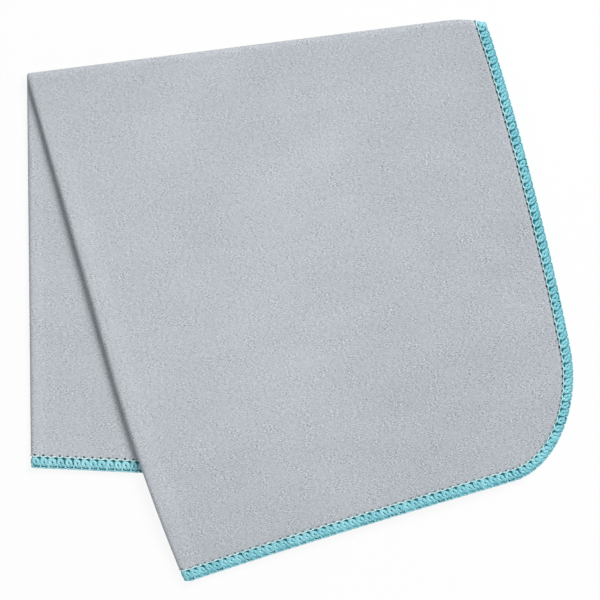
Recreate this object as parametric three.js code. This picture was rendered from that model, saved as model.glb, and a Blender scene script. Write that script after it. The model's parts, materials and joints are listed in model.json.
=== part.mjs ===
// A square microfibre cleaning cloth with an overlocked edge, folded in half and in
// half again and laid flat. Millimetres, +Z up. The crease of the second fold runs
// along X on the +Y side, the open ends point to -Y and the first fold is on the left.
//
// Everything is drawn on the flat cloth and then folded by one mapping. A place on the
// cloth is given by three numbers:
//   across  distance from the first fold, + on the outer panel, - on the inner panel
//   down    distance from the crease, + on the front half, - on the back half
//   proud   height over the cloth's middle surface, + towards the face that shows
import * as THREE from 'three';

// Cloth
const clothWidth = 395.8;
const clothLength = 400;
const clothThickness = 1.2;
const frontLength = 229.2; // length of the first fold that lies in the front half
const cornerAcross = 35.7; // reach of a rounded corner along the bottom edge
const cornerDown = 48.2; // and along the side edge

// Overlocked edge
const seamWidth = 5; // from the raw edge to the inner side of the stitches
const pressedThickness = 0.3; // the cloth inside the stitches
const pressedRun = 0.3; // the step from the full thickness to the pressed one
const threadFit = 0.3; // room between the threads, on the cloth's surface
const threadThickness = 0.25;
const needleThreadInset = 4; // from the raw edge to the needle thread's outer side
const needleThreadWidth = 0.5;
const looperOverhang = 0.45; // how far the looper threads stand over the raw edge
const looperClearance = 0.1; // from the raw edge to where they start to close over it
const looperTurn = 0.15; // how fast they close over it
const looperLap = 0.2; // room between the two looper threads where they meet

// Folds
const layerGap = 0.3; // between the two layers of a half
const halfGap = 0.6; // between the front half and the back half
const frontFoldRadius = 1.2; // the first fold is pressed nearly shut, less in the front half
const backFoldRadius = 1;
const frontFoldTaper = 10; // from the fold to layers that lie flat
const backFoldTaper = 6;
const foldOpening = 85; // distance from the crease at which the fold has its full radius
const creaseGap = 0.3; // between the two halves' solids at the crease

// The lie of the folded cloth
const foldSlant = THREE.MathUtils.degToRad(7.61); // the first fold, off square to the crease
const hemSlant = THREE.MathUtils.degToRad(9.62); // the bottom edges, off the crease
const lean = THREE.MathUtils.degToRad(1.04); // both halves swing to the right
const sideDrawIn = 16.2; // how fast the side edges draw in
const sideWidest = 49; // distance from the crease of the widest place
const foldDrift = 5.88; // the front fold runs to the right near its lower end
const foldDriftStart = 131.2;
const hemBow = -0.49; // the front bottom edge, at its middle
const hemDip = 2.45; // and at its right end
const dropRun = 62; // the overhanging front half comes down over this distance
const creaseEndDip = 2.64; // the crease falls short at the raw edge
const creaseEndRun = 15.8; // over this distance along the crease
const creaseEndFade = 25; // and down from it

// Fineness
const slopeStep = 0.05; // distance over which the surface's slope is measured
const creaseRows = 3;
const sideRows = 6;
const cornerRows = 8;
const foldColumns = 3;
const taperColumns = 4;
const fieldColumns = 5;
const corrections = 6;

// Worked out from these
const panelWidth = clothWidth / 2;
const backLength = clothLength - frontLength;
const layerPitch = clothThickness + layerGap;
const halfHeight = clothThickness + layerPitch;
const creaseHeight = halfHeight + halfGap / 2;
const creaseRadius = creaseHeight - halfHeight / 2; // from the crease's centre to mid-half
const creaseReach = (Math.PI / 2) * creaseRadius; // cloth that a quarter turn takes
const frontUnderside = creaseHeight + halfGap / 2;

const lerp = THREE.MathUtils.lerp;

function ease(value) {
  const share = THREE.MathUtils.clamp(value, 0, 1);
  return share * share * (3 - 2 * share);
}

// The first fold: round at the edge, its two layers closing to their pitch over a taper.
// Its outer face is at x = 0.
function firstFold(across, down) {
  const fullRadius = down > 0 ? frontFoldRadius : backFoldRadius;
  const taper = down > 0 ? frontFoldTaper : backFoldTaper;
  const opening = ease((Math.abs(down) - creaseReach) / foldOpening);
  const radius = lerp(layerPitch / 2, fullRadius, opening);
  const quarter = (Math.PI / 2) * radius;
  const reach = Math.abs(across);
  if (reach < quarter) {
    const turn = reach / radius;
    return {
      x: clothThickness / 2 + radius * (1 - Math.cos(turn)),
      rise: Math.sign(across) * radius * Math.sin(turn),
      lift: radius - layerPitch / 2,
    };
  }
  const apart = lerp(radius, layerPitch / 2, ease((reach - quarter) / taper));
  return {
    x: clothThickness / 2 + radius + reach - quarter,
    rise: Math.sign(across) * apart,
    lift: apart - layerPitch / 2,
  };
}

// How far a place of the front half lies outside the outline of the back half.
function overhang(x, fall) {
  const strip = (x - Math.tan(lean) * fall + Math.tan(foldSlant) * fall)
    / (Math.cos(foldSlant) + Math.tan(foldSlant) * Math.sin(hemSlant));
  const along = (fall - strip * Math.sin(hemSlant)) / Math.cos(foldSlant);
  const sidewards = Math.max(strip - (panelWidth - cornerAcross), 0);
  const onwards = Math.max(along - (backLength - cornerDown), 0);
  const outline = Math.hypot(sidewards / cornerAcross, onwards / cornerDown);
  return outline > 1 ? Math.hypot(sidewards, onwards) * (1 - 1 / outline) : 0;
}

// The cloth's middle surface, folded twice.
function middle(across, down) {
  const front = down > 0;
  const distance = Math.abs(down);
  const fold = firstFold(across, down);
  const share = fold.x / panelWidth;
  const strip = (down + fold.x * Math.sin(hemSlant)) / Math.cos(foldSlant);
  const inward = sideDrawIn * ((distance - sideWidest) / (clothLength / 2)) ** 2;
  let x = fold.x * Math.cos(foldSlant) + strip * Math.sin(foldSlant);
  x += Math.tan(lean) * distance - inward * share;
  let fall = distance - creaseReach;
  let drop = 0;
  if (front) {
    const drift = Math.max(distance - foldDriftStart, 0) / (frontLength - foldDriftStart);
    x += foldDrift * drift ** 2 * (1 - share);
    const bend = 4 * hemBow * share * (1 - share) + hemDip * share ** 2;
    fall += bend * (Math.max(fall, 0) / frontLength) ** 2;
    drop = frontUnderside * ease(overhang(x, fall + creaseReach) / dropRun);
  }
  const turn = Math.min(distance / creaseRadius, Math.PI / 2);
  const radius = creaseRadius + fold.rise + (front ? fold.lift : -fold.lift);
  const creaseEnd = Math.max(fold.x - panelWidth + creaseEndRun, 0) / creaseEndRun;
  const dip = creaseEndDip * creaseEnd ** 2 * (1 - ease(distance / creaseEndFade));
  return new THREE.Vector3(
    x,
    (fall < 0 ? radius * Math.cos(turn) : -fall) - dip,
    creaseHeight + (front ? 1 : -1) * radius * Math.sin(turn) - drop,
  );
}

// A place of the cloth, folded.
function folded({ across, down }, proud) {
  const acrossWay = middle(across + slopeStep, down).sub(middle(across - slopeStep, down));
  const downWay = middle(across, down + slopeStep).sub(middle(across, down - slopeStep));
  const outward = downWay.cross(acrossWay).normalize();
  return middle(across, down).addScaledVector(outward, proud);
}

// Length along a panel, from where the first fold meets the crease.
function lengthAt(across, down) {
  const strip = down + firstFold(across, down).x * Math.sin(hemSlant);
  return (Math.sign(down) * strip) / Math.cos(foldSlant);
}

// The other way round: the distance from the crease of a place on a panel.
function placeAt(across, length, front) {
  const sign = front ? 1 : -1;
  let down = sign * length * Math.cos(foldSlant);
  for (let pass = 0; pass < corrections; pass += 1) {
    const x = firstFold(across, sign * Math.abs(down)).x;
    down = sign * length * Math.cos(foldSlant) - x * Math.sin(hemSlant);
  }
  return { across, down };
}

// The rows of a half, from the crease to the bottom edge. A row knows its length on the
// first fold and its place on the side edge, at any inset from the raw edge.
function rowsOf(front) {
  const sign = front ? 1 : -1;
  const end = (front ? frontLength : backLength) - cornerDown;
  const rows = [];
  for (let row = 0; row <= creaseRows; row += 1) {
    const down = sign * lerp(creaseGap / 2, creaseReach, row / creaseRows);
    rows.push({
      place: (across) => ({ across, down }),
      edge: (inset) => ({ reach: panelWidth - inset }),
    });
  }
  for (let row = 1; row <= sideRows; row += 1) {
    const share = row / sideRows;
    const start = (reach) => lengthAt(reach, sign * creaseReach);
    rows.push({
      left: lerp(start(0), end, share),
      edge: (inset) => ({
        reach: panelWidth - inset,
        length: lerp(start(panelWidth - inset), end, share),
      }),
    });
  }
  for (let row = 1; row <= cornerRows; row += 1) {
    const turn = (row / cornerRows) * (Math.PI / 2);
    rows.push({
      left: end + (cornerDown - seamWidth) * (row / cornerRows),
      edge: (inset) => ({
        reach: panelWidth - cornerAcross + (cornerAcross - inset) * Math.cos(turn),
        length: end + (cornerDown - inset) * Math.sin(turn),
      }),
    });
  }
  return rows;
}

// Where a row crosses the first fold, its taper and the field, out to the stitches.
function columnsOf(row, front) {
  const { reach } = row.edge(seamWidth);
  const down = row.place ? row.place(0).down : placeAt(0, row.left, front).down;
  const fullRadius = front ? frontFoldRadius : backFoldRadius;
  const opening = ease((Math.abs(down) - creaseReach) / foldOpening);
  const quarter = (Math.PI / 2) * lerp(layerPitch / 2, fullRadius, opening);
  const tapered = quarter + (front ? frontFoldTaper : backFoldTaper);
  const columns = [0];
  for (let k = 1; k <= foldColumns; k += 1) columns.push((quarter * k) / foldColumns);
  for (let k = 1; k <= taperColumns; k += 1) columns.push(lerp(quarter, tapered, k / taperColumns));
  for (let k = 1; k <= fieldColumns; k += 1) columns.push(lerp(tapered, reach, k / fieldColumns));
  return [...columns.slice(1).reverse().map((column) => -column), ...columns];
}

// The grid of places inside the stitches, and the stations of the edge around it, from
// the crease on the inner panel round to the crease on the outer panel. A station gives
// the place at any inset from the raw edge.
function layOut(front) {
  const rows = rowsOf(front);
  const grid = rows.map((row) => {
    if (row.place) return columnsOf(row, front).map(row.place);
    const { reach, length } = row.edge(seamWidth);
    return columnsOf(row, front).map((across) => (
      placeAt(across, lerp(row.left, length, Math.abs(across) / reach), front)));
  });
  const sideStation = (row, sign) => (inset) => {
    const { reach, length } = row.edge(inset);
    return row.place ? row.place(sign * reach) : placeAt(sign * reach, length, front);
  };
  const fullLength = front ? frontLength : backLength;
  const hemStations = grid.at(-1).slice(1, -1).map(({ across }) => (
    (inset) => placeAt(across, fullLength - inset, front)));
  const stations = [
    ...rows.map((row) => sideStation(row, -1)),
    ...hemStations,
    ...rows.map((row) => sideStation(row, 1)).reverse(),
  ];
  return { grid, stations };
}

// A closed solid over a net of places, each with its lower and upper height.
class Solid {
  constructor() {
    this.places = [];
    this.faces = [];
  }

  add(place, low, high) {
    this.places.push({ ...place, low, high });
    return this.places.length - 1;
  }

  // Faces turn the same way round whichever way a half's rows run.
  face(a, b, c) {
    const [p, q, r] = [a, b, c].map((index) => this.places[index]);
    const area = (q.down - p.down) * (r.across - p.across)
      - (q.across - p.across) * (r.down - p.down);
    this.faces.push(area > 0 ? [a, b, c] : [a, c, b]);
  }

  // A net of rows of indices, joined by faces.
  net(rows) {
    for (let i = 1; i < rows.length; i += 1) {
      for (let j = 1; j < rows[i].length; j += 1) {
        this.face(rows[i - 1][j - 1], rows[i][j - 1], rows[i][j]);
        this.face(rows[i - 1][j - 1], rows[i][j], rows[i - 1][j]);
      }
    }
    return this;
  }

  geometry() {
    const count = this.places.length;
    const corners = [
      ...this.places.map((place) => folded(place, place.high)),
      ...this.places.map((place) => folded(place, place.low)),
    ];
    const edges = new Set();
    const index = [];
    for (const [a, b, c] of this.faces) {
      index.push(a, b, c, count + a, count + c, count + b);
      edges.add(`${a} ${b}`).add(`${b} ${c}`).add(`${c} ${a}`);
    }
    for (const edge of edges) {
      const [a, b] = edge.split(' ').map(Number);
      if (!edges.has(`${b} ${a}`)) index.push(a, count + a, count + b, a, count + b, b);
    }
    const geometry = new THREE.BufferGeometry();
    geometry.setAttribute('position', new THREE.Float32BufferAttribute(
      corners.flatMap((corner) => corner.toArray()), 3));
    geometry.setIndex(index);
    geometry.computeVertexNormals();
    return geometry;
  }
}

// The cloth of a half: the full thickness inside, pressed thin under the stitches.
function clothGeometry({ grid, stations }) {
  const solid = new Solid();
  const field = grid.map((row) => row.map((place) => (
    solid.add(place, -clothThickness / 2, clothThickness / 2))));
  solid.net(field);
  const inner = [
    ...field.map((row) => row[0]),
    ...field.at(-1).slice(1, -1),
    ...field.map((row) => row.at(-1)).reverse(),
  ];
  const rings = [seamWidth - pressedRun, 0].map((inset) => stations.map((station) => (
    solid.add(station(inset), -pressedThickness / 2, pressedThickness / 2))));
  return solid.net([inner, ...rings]).geometry();
}

// A thread along the edge: a list of insets, each with its lower and upper height.
function threadGeometry({ stations }, profile) {
  const solid = new Solid();
  const lines = profile.map(([inset, low, high]) => (
    stations.map((station) => solid.add(station(inset), low, high))));
  return solid.net(lines).geometry();
}

const threadTop = clothThickness / 2;
const threadUnderside = threadTop - threadThickness;
const looperInset = needleThreadInset - threadFit;

const needleProfile = [
  [needleThreadInset + needleThreadWidth, threadUnderside, threadTop],
  [needleThreadInset, threadUnderside, threadTop],
];

const upperLooperProfile = [
  [looperInset, threadUnderside, threadTop],
  [-looperClearance, threadUnderside, threadTop],
  [-looperClearance - looperTurn, looperLap / 2, threadTop],
  [-looperOverhang, looperLap / 2, threadUnderside],
];

const lowerLooperProfile = upperLooperProfile.map(([inset, low, high]) => [inset, -high, -low]);

const clothFinish = { color: 0xbdc2c8, roughness: 0.95, metalness: 0 };
const needleFinish = { color: 0xb4e2e6, roughness: 0.5, metalness: 0 };
const looperFinish = { color: 0x7fcad4, roughness: 0.8, metalness: 0 };

function piece(name, geometry, finish) {
  const mesh = new THREE.Mesh(geometry, new THREE.MeshStandardMaterial(finish));
  mesh.name = name;
  return mesh;
}

function half(name, front) {
  const layout = layOut(front);
  const group = new THREE.Group();
  group.add(
    piece(`${name}_cloth`, clothGeometry(layout), clothFinish),
    piece(`${name}_needle_thread`, threadGeometry(layout, needleProfile), needleFinish),
    piece(`${name}_upper_looper_thread`, threadGeometry(layout, upperLooperProfile), looperFinish),
    piece(`${name}_lower_looper_thread`, threadGeometry(layout, lowerLooperProfile), looperFinish),
  );
  return group;
}

const foldedCloth = new THREE.Group();
foldedCloth.add(half('back_half', false), half('front_half', true));

// The origin is the middle of the underside.
const bounds = new THREE.Box3().setFromObject(foldedCloth);
const middleOfBounds = bounds.getCenter(new THREE.Vector3());
foldedCloth.position.set(-middleOfBounds.x, -middleOfBounds.y, -bounds.min.z);

export default foldedCloth;
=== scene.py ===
"""A square microfibre cleaning cloth with an overlocked edge, folded twice and laid flat.

Everything is laid out on the flat cloth and then folded by one mapping, in metres. A
place on the flat cloth has two numbers: across, the distance from the first fold, and
strip, the distance along the panel, which is + on the front half.
"""
import json
import math

import bpy
import numpy as np
from mathutils import Matrix, Vector


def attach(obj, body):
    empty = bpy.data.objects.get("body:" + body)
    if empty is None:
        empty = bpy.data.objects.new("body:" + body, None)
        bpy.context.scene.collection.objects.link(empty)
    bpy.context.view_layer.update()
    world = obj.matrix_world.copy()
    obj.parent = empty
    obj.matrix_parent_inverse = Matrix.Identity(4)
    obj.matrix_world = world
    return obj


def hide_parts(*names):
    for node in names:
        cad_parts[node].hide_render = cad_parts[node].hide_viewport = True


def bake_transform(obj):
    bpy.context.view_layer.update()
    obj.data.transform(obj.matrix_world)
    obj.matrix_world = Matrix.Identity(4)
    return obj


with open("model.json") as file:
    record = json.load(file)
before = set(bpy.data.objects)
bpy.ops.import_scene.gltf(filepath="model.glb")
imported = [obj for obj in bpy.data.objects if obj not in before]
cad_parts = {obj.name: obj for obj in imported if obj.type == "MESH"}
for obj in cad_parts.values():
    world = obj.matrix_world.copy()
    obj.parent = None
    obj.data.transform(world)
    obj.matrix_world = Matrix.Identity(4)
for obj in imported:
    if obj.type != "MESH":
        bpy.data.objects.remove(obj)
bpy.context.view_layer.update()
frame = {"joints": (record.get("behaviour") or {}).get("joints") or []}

bl_info = {
    "name": "Folded Cleaning Cloth",
    "version": (1, 0, 0),
    "blender": (4, 5, 0),
    "location": "3D View > Sidebar > Cloth",
    "description": "Builds a twice folded microfibre cloth with an overlocked edge",
    "category": "Object",
}

HINGE = Vector(next(joint for joint in frame["joints"] if joint["name"] == "top_fold")["pos_m"])

# Cloth
CLOTH_LENGTH = 0.400
PANEL_WIDTH = 0.1979
FRONT_LENGTH = 0.2292
BACK_LENGTH = CLOTH_LENGTH - FRONT_LENGTH
CORNER_ACROSS = 0.0357
CORNER_DOWN = 0.0482
CLOTH_THICKNESS = 0.0012

# Folds
LAYER_PITCH = 0.0015
HALF_HEIGHT = CLOTH_THICKNESS + LAYER_PITCH
HALF_GAP = 0.0006
CREASE_HEIGHT = HALF_HEIGHT + HALF_GAP / 2
CREASE_RADIUS = CREASE_HEIGHT - HALF_HEIGHT / 2
CREASE_REACH = math.pi / 2 * CREASE_RADIUS
FRONT_UNDERSIDE = CREASE_HEIGHT + HALF_GAP / 2
FRONT_FOLD_RADIUS = 0.0012
BACK_FOLD_RADIUS = 0.0010
FRONT_FOLD_TAPER = 0.010
BACK_FOLD_TAPER = 0.006
FOLD_OPENING = 0.085

# The lie of the folded cloth
FOLD_SLANT = math.radians(7.61)
HEM_SLANT = math.radians(9.62)
LEAN = math.radians(1.04)
SIDE_DRAW_IN = 0.0162
SIDE_WIDEST = 0.049
FOLD_DRIFT = 0.00588
FOLD_DRIFT_START = 0.1312
HEM_BOW = -0.00049
HEM_DIP = 0.00245
DROP_RUN = 0.062
CREASE_END_DIP = 0.00264
CREASE_END_RUN = 0.0158
CREASE_END_FADE = 0.025
FRONT_END_LIFT = 0.0015
BACK_END_LIFT = 0.0003
END_LIFT_RUN = 0.004
SLOPE_STEP = 0.00005

# The crease frame starts where the first fold meets the crease, under the hinge's line
CREASE_START = HINGE - Vector((0, CREASE_HEIGHT, CREASE_HEIGHT))

# Soft ripples: middle from the crease's left end, half length, half width, direction in
# degrees, rise
RIPPLES = (
    (0.0887, -0.0183, 0.0277, 0.0055, 13, -0.00050),  # valley under the crease, left
    (0.1675, -0.0180, 0.0313, 0.0050, 6, -0.00050),  # valley under the crease, right
    (0.0610, -0.0820, 0.0153, 0.0070, -52, -0.00030),  # left streak
    (0.1819, -0.1064, 0.0089, 0.0040, -33, -0.00040),  # dimple a
    (0.1997, -0.1183, 0.0085, 0.0035, -34, -0.00035),  # dimple b
    (0.1963, -0.0951, 0.0115, 0.0045, -27, -0.00035),  # dimple c
    (0.1578, -0.0913, 0.0139, 0.0070, -43, -0.00030),  # middle patch
    (0.1810, -0.0529, 0.0123, 0.0050, -30, -0.00030),  # upper patch
    (0.0210, -0.1400, 0.0750, 0.0080, -81, -0.00050),  # pressed front fold
    (0.1150, -0.1600, 0.0380, 0.0190, 3, 0.00060),  # over the hidden hem
)
RIPPLE_CLEAR = 0.004
RIPPLE_FADE = 0.008
RIPPLE_IN_FRONT = 0.85
RIPPLE_BEHIND = 0.25
RIPPLE_BY_LAYER = 0.15

# The cloth's mesh
BAND = 0.007
CREASE_RINGS = (0.00005, 0.0001, 0.00015, 0.0002, 0.0003, 0.0004, 0.0005, 0.0007, 0.0009,
                0.0011, 0.0014, 0.0017, 0.0020, 0.0023, CREASE_REACH, 0.0034, 0.0047, BAND)
SIDE_ROWS = 40
CORNER_ROWS = 24
FOLD_COLUMNS = 8
TAPER_COLUMNS = 10
FIELD_COLUMNS = 36
EDGE_INSETS = (0.0070, 0.0061, 0.0055, 0.0051, 0.0047, 0.0043, 0.0032, 0.0016, 0.0005, 0)
EDGE_HEIGHTS = (0.00060, 0.00060, 0.00058, 0.00050, 0.00038, 0.00026, 0.00017, 0.00015,
                0.00014, 0.00012)
FIELD_INSET = 3 * EDGE_INSETS[0]
CORRECTIONS = 6
SMOOTH_ANGLE = math.radians(40)

# The row of stitches
PATH_STEP = 0.00025
NEEDLE_LINE = 0.0043
HOLE_INSET = 0.0050
SLANTS = {"front_hem": 0.0023, "back_hem": 0.0009, "side": 0.0013}
WIDTHS = {"front_hem": 0.99, "back_hem": 1.04, "side": 0.84}
OUTSETS = {"front_hem": 0.0001, "back_hem": 0, "side": 0.00006}
FULLNESS = {"front_hem": 1.04, "back_hem": 1, "side": 0.94}
ROUNDS = {"front_hem": 0.35, "back_hem": 1, "side": 0.12}
# Each zone's thread tone is partly its own tone and partly painted light: the sides painted darker
# and the back hem paler, as light falls on them differently
ZONE_TONES_AND_PAINTED_LIGHT = {"front_hem": -0.25, "back_hem": 0.5, "side": -1.0}
CREASE_STITCHES = 0.0034
CREASE_FULLNESS = 1.7
CREASE_PALER = 1.8
CREASE_OUTSET = 0.0004
OUTSET_MIDDLE = 0.009
OUTSET_RUN = 0.008
MODEL_PITCH = 0.0036
PAST_THE_EDGE = -0.2
WANDER_ALONG = 0.25
WANDER_PROUD = 0.5
WANDER_SLANT = 0.5
SEED = 7

# A stitch's strands on the flat cloth, from the left end to the middle: along the edge,
# inwards from it, proud of the cloth and the share of the strand's width
ROUND_TOOTH = (
    (-0.00010, 0.00082, 0.00038, 0.86), (-0.00092, 0.00108, 0.00044, 0.95),
    (-0.00113, 0.00235, 0.00048, 0.95), (-0.00084, 0.00322, 0.00047, 0.92),
    (0, 0.00352, 0.00044, 0.85))
TIGHT_TOOTH = (
    (-0.00062, 0.00031, 0.00028, 0.86), (-0.00078, 0.00125, 0.00044, 0.95),
    (-0.00098, 0.00230, 0.00048, 0.98), (-0.00097, 0.00324, 0.00047, 0.92),
    (0, 0.00352, 0.00044, 0.85))
EDGE_HOOK = (
    (-0.00162, 0.0015, 0.00030, 1.1), (-0.00182, 0.0008, 0.00044, 1.3),
    (-0.00206, -0.00015, 0.00046, 1.15), (-0.0006, -0.00025, 0.00040, 1.0))
NEEDLE_ARCH = (
    (-0.0019, 0.00470, 0.00066, 0.9), (-0.0011, 0.00466, 0.00070, 1),
    (-0.00045, 0.00430, 0.00070, 1), (0, 0.00412, 0.00068, 1))
HOOK_FLATNESS = 0.9
NEEDLE_FLATNESS = 0.6

# The fabric's look: the scales of its noises, and what each adds to its tone
NAP_STRETCH = (0.46, 1.1, 1)
NAP_SCALE = 2400
PATCH_SCALE = 150
FLECK_SCALE = 1700
FLECKS = (0.57, 0.73)
MOTTLE_SCALE = 560
CLOUD_SCALE = 20
STREAK_SCALE = 60
RIB_PITCH = 0.00098
NAP_AT_CREASE = 0.8
NAP_GROWTH = 1.9
NAP_BY_PATCH = 3.0
NAP_HOLLOWS = 0.12
MOTTLE_TONE = 0.24
RIB_TONE = 0.03
CLOUD_TONE = 0.14
STREAK_TONE = 0.12
FLECK_TONE = 0.17
MIDDLE_TONE = 0.5
# Painted light: the fabric is painted paler round a middle on the first fold below the crease, and
# darker outwards from it, as a lamp's fall-off
PAINTED_LIGHT_LIFT = 0.043
PAINTED_LIGHT_MIDDLE_DOWN = 0.11
PAINTED_LIGHT_FALLOFF = 3.2
FABRIC_BUMP = 0.25
NAP_HEIGHT = 0.00016

# The needle holes' look, painted as the shade in them: where they are smaller or fainter, and
# their edge
HOLE_SIDES = (0.187 ** 2, 0.193 ** 2)
HOLE_SIDE_GROWTH = 0.4
HOLE_ROUNDNESS = 1.6
HOLE_EDGE = (0.00036 ** 2, 0.00066 ** 2)
HOLE_FAINTEST = 0.7
HOLE_FADE = (0.19, 0.21)
HOLE_FADED = 0.4
# Where the painted shade under the edging ends, as insets from the raw edge
SHADED_GAP_INSETS = (0.0043, 0.0046)

# The yarns' look
FLUFF_SCALE = 2600
BLOTCH_SCALE = 620
YARN_TWIST = 1.5
# Painted shade and highlight: the plies are painted dark between them and light on top
PLY_SHADE_AND_HIGHLIGHT = 0.38
FLUFF_TONE = 0.22
BLOTCH_TONE = 0.3
STITCH_TONE = 0.14
DARK_TO_MIDDLE = (0.22, 0.52)
MIDDLE_TO_LIGHT = (0.52, 0.86)
YARN_BUMP = 0.5
PLY_HEIGHT = 0.00012

# The camera looks straight down, as the photo does
CAMERA_TURN = math.radians(-7.19)
CAMERA_CENTRE = (0.00564, 0.00151, 0.0035)
VIEW_WIDTH = 0.26047
LENS = 200
SENSOR = 36
CAMERA_REACH = 20

# The stage
FLOOR_SIZE = 6
FLOOR_GLOW = 0.9
KEY_PLACE = (1.0, 0.83, 1.36)
KEY_SIZE = 1.1
FILL_PLACE = (-0.40, -0.70, 0.50)
FILL_SIZE = 0.5


def from_screen(red, green, blue):
    """A colour as the screen shows it, 0 to 255, as the linear one that shaders take."""
    def linear(value):
        share = value / 255
        return share / 12.92 if share <= 0.04045 else ((share + 0.055) / 1.055) ** 2.4
    return (linear(red), linear(green), linear(blue))


# The fold

def ease(value):
    share = np.clip(value, 0, 1)
    return share * share * (3 - 2 * share)


def lerp(start, end, share):
    return start + (end - start) * share


def first_fold(across, down):
    """Round at the edge, its two layers closing to their pitch; its outer face is at x = 0."""
    front = down > 0
    full_radius = np.where(front, FRONT_FOLD_RADIUS, BACK_FOLD_RADIUS)
    taper = np.where(front, FRONT_FOLD_TAPER, BACK_FOLD_TAPER)
    opening = ease((np.abs(down) - CREASE_REACH) / FOLD_OPENING)
    radius = lerp(LAYER_PITCH / 2, full_radius, opening)
    quarter = math.pi / 2 * radius
    reach = np.abs(across)
    bent = reach < quarter
    turn = np.minimum(reach / radius, math.pi / 2)
    apart = lerp(radius, LAYER_PITCH / 2, ease((reach - quarter) / taper))
    x = np.where(bent, radius * (1 - np.cos(turn)), radius + reach - quarter)
    x = x + CLOTH_THICKNESS / 2
    rise = np.sign(across) * np.where(bent, radius * np.sin(turn), apart)
    lift = np.where(bent, radius, apart) - LAYER_PITCH / 2
    return x, rise, lift


def overhang(x, fall):
    """How far a place of the front half lies outside the outline of the back half."""
    strip = (x - math.tan(LEAN) * fall + math.tan(FOLD_SLANT) * fall) / (
        math.cos(FOLD_SLANT) + math.tan(FOLD_SLANT) * math.sin(HEM_SLANT))
    along = (fall - strip * math.sin(HEM_SLANT)) / math.cos(FOLD_SLANT)
    sidewards = np.maximum(strip - (PANEL_WIDTH - CORNER_ACROSS), 0)
    onwards = np.maximum(along - (BACK_LENGTH - CORNER_DOWN), 0)
    outline = np.hypot(sidewards / CORNER_ACROSS, onwards / CORNER_DOWN)
    outside = np.hypot(sidewards, onwards) * (1 - 1 / np.maximum(outline, 1))
    return outside


def ripples(x, y):
    """Height of the soft ripples over a place."""
    height = np.zeros_like(x)
    for middle_x, middle_y, half_length, half_width, direction, rise in RIPPLES:
        turn = math.radians(direction)
        along = (x - middle_x) * math.cos(turn) + (y - middle_y) * math.sin(turn)
        aside = (y - middle_y) * math.cos(turn) - (x - middle_x) * math.sin(turn)
        height = height + rise * np.exp(-(along / half_length) ** 2 - (aside / half_width) ** 2)
    return height


def middle(across, down):
    """The cloth's middle surface, folded twice, in the crease frame."""
    front = down > 0
    distance = np.abs(down)
    fold_x, rise, lift = first_fold(across, down)
    share = fold_x / PANEL_WIDTH
    strip = (down + fold_x * math.sin(HEM_SLANT)) / math.cos(FOLD_SLANT)
    inward = SIDE_DRAW_IN * ((distance - SIDE_WIDEST) / (CLOTH_LENGTH / 2)) ** 2
    x = fold_x * math.cos(FOLD_SLANT) + strip * math.sin(FOLD_SLANT)
    x = x + math.tan(LEAN) * distance - inward * share
    fall = distance - CREASE_REACH
    drift = np.maximum(distance - FOLD_DRIFT_START, 0) / (FRONT_LENGTH - FOLD_DRIFT_START)
    x = np.where(front, x + FOLD_DRIFT * drift ** 2 * (1 - share), x)
    bend = 4 * HEM_BOW * share * (1 - share) + HEM_DIP * share ** 2
    bent_fall = fall + bend * (np.maximum(fall, 0) / FRONT_LENGTH) ** 2
    fall = np.where(front, bent_fall, fall)
    lifted = np.where(front, FRONT_END_LIFT, BACK_END_LIFT)
    lifted = lifted * np.maximum(1 - fold_x / END_LIFT_RUN, 0) ** 2
    fall = fall - lifted * (np.maximum(fall, 0) / FRONT_LENGTH) ** 2
    drop = FRONT_UNDERSIDE * ease(overhang(x, fall + CREASE_REACH) / DROP_RUN)
    drop = np.where(front, drop, 0)
    turn = np.minimum(distance / CREASE_RADIUS, math.pi / 2)
    radius = CREASE_RADIUS + rise + np.where(front, lift, -lift)
    end = np.maximum(fold_x - PANEL_WIDTH + CREASE_END_RUN, 0) / CREASE_END_RUN
    dip = CREASE_END_DIP * end ** 2 * (1 - ease(distance / CREASE_END_FADE))
    y = np.where(fall < 0, radius * np.cos(turn), -fall) - dip
    z = CREASE_HEIGHT + np.where(front, 1, -1) * radius * np.sin(turn) - drop
    side = np.clip(rise / (LAYER_PITCH / 2), -1, 1)
    by_layer = RIPPLE_BY_LAYER * side
    share_of_ripple = np.where(front, RIPPLE_IN_FRONT + by_layer, RIPPLE_BEHIND - by_layer)
    share_of_ripple = share_of_ripple * ease((distance - RIPPLE_CLEAR) / RIPPLE_FADE)
    z = z + share_of_ripple * ripples(x, y)
    return np.stack([x, y, z], axis=-1)


def folded(across, down, proud):
    """Places of the cloth in the object's frame, proud of its middle surface."""
    across = np.asarray(across, float)
    down = np.asarray(down, float)
    across_way = middle(across + SLOPE_STEP, down) - middle(across - SLOPE_STEP, down)
    down_way = middle(across, down + SLOPE_STEP) - middle(across, down - SLOPE_STEP)
    outward = np.cross(down_way, across_way)
    outward /= np.linalg.norm(outward, axis=-1, keepdims=True)
    points = middle(across, down) + outward * np.asarray(proud, float)[..., None]
    points = points + np.array(CREASE_START)
    points[..., 2] = np.maximum(points[..., 2], 0)
    return points


def strip_of(across, down):
    """The distance along the panel of a place at a distance down from the crease."""
    return (down + first_fold(across, down)[0] * math.sin(HEM_SLANT)) / math.cos(FOLD_SLANT)


def down_of(across, strip):
    """The distance down from the crease of a place on the flat cloth."""
    down = strip * math.cos(FOLD_SLANT)
    for _ in range(CORRECTIONS):
        fold_x = first_fold(across, down)[0]
        down = strip * math.cos(FOLD_SLANT) - fold_x * math.sin(HEM_SLANT)
    return down


# The raw edge of the flat cloth, once round, in the direction in which it was sewn

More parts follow.
